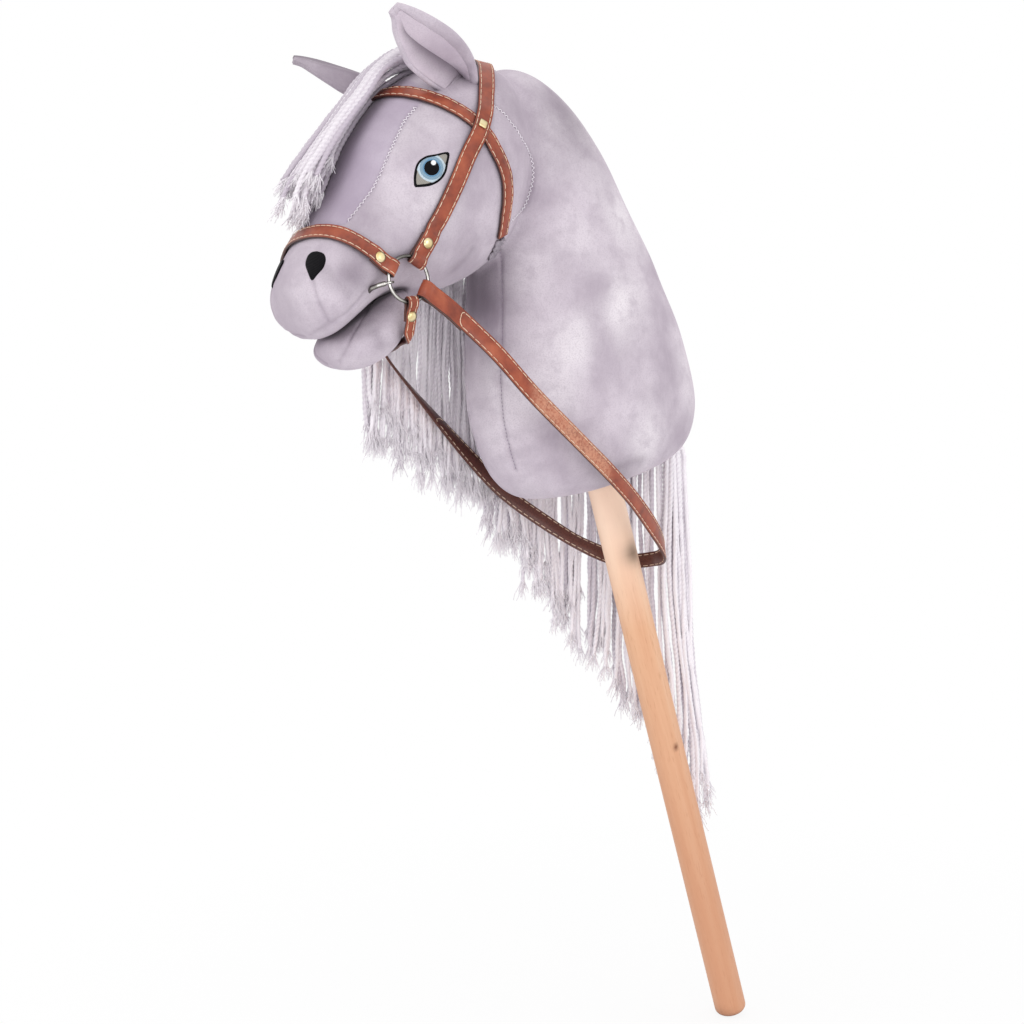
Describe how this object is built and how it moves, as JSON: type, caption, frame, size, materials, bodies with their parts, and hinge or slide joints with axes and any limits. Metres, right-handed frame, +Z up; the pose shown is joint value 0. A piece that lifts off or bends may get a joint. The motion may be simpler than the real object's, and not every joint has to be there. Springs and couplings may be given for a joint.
{
  "type": "hobby horse",
  "caption": "Stuffed plush horse's head on a leaning round wooden stick, with a yarn mane, a leather bridle, metal bit rings and a looped rein.",
  "frame": {"origin": "middle of the flat end of the stick's foot", "axes": "the horse looks along -X, its left side is -Y and +Z is up; the stick leans 17.6 degrees, with its top towards -X, so that the mane and the rein hang straight down"},
  "size_m": [0.4907, 0.1777, 0.8652],
  "materials": {
    "beech": "planed, fine grain, unvarnished",
    "plush": "short velvety pile",
    "lining": "short pile, a shade darker",
    "yarn": "soft twisted yarn",
    "eye_thread": "satin stitched embroidery",
    "black_thread": "satin stitched embroidery",
    "leather": "smooth, half gloss, cream stitching",
    "nickel": "nickel plated",
    "brass": "polished"
  },
  "bodies": {
    "horse": {"stick": "beech", "neck": "plush", "head": "plush", "lower_jaw": "plush", "ear_near": "plush", "ear_far": "plush", "ear_lining_near": "lining", "ear_lining_far": "lining", "throat_tab_near": "lining", "throat_tab_far": "lining", "mane": "yarn", "forelock": "yarn", "eye_near": "eye_thread", "eye_far": "eye_thread", "nostril_near": "black_thread", "nostril_far": "black_thread", "crown_strap": "leather", "brow_and_throat_strap": "leather", "noseband": "leather", "chin_strap": "leather", "bit": "nickel", "brow_rivet_near": "brass", "brow_rivet_far": "brass", "cheek_rivet_near": "brass", "cheek_rivet_far": "brass", "nose_rivet_near": "brass", "nose_rivet_far": "brass", "chin_rivet_near": "brass", "chin_rivet_far": "brass"},
    "bridle_ring_near": {"ring_near": "nickel"},
    "bridle_ring_far": {"ring_far": "nickel"},
    "rein_strap": {"rein": "leather"}
  },
  "joints": [
    {"name": "ring_near_spin", "type": "hinge", "parent": "horse", "child": "bridle_ring_near", "pos_m": [-0.4075, -0.06854, 0.666], "axis": [0, 1, 0], "continuous": true},
    {"name": "ring_far_spin", "type": "hinge", "parent": "horse", "child": "bridle_ring_far", "pos_m": [-0.4075, 0.06854, 0.666], "axis": [0, 1, 0], "continuous": true},
    {"name": "rein_swing", "type": "hinge", "parent": "horse", "child": "rein_strap", "pos_m": [-0.4075, 0, 0.666], "axis": [0, -1, 0], "range_deg": [0, 6]}
  ]
}
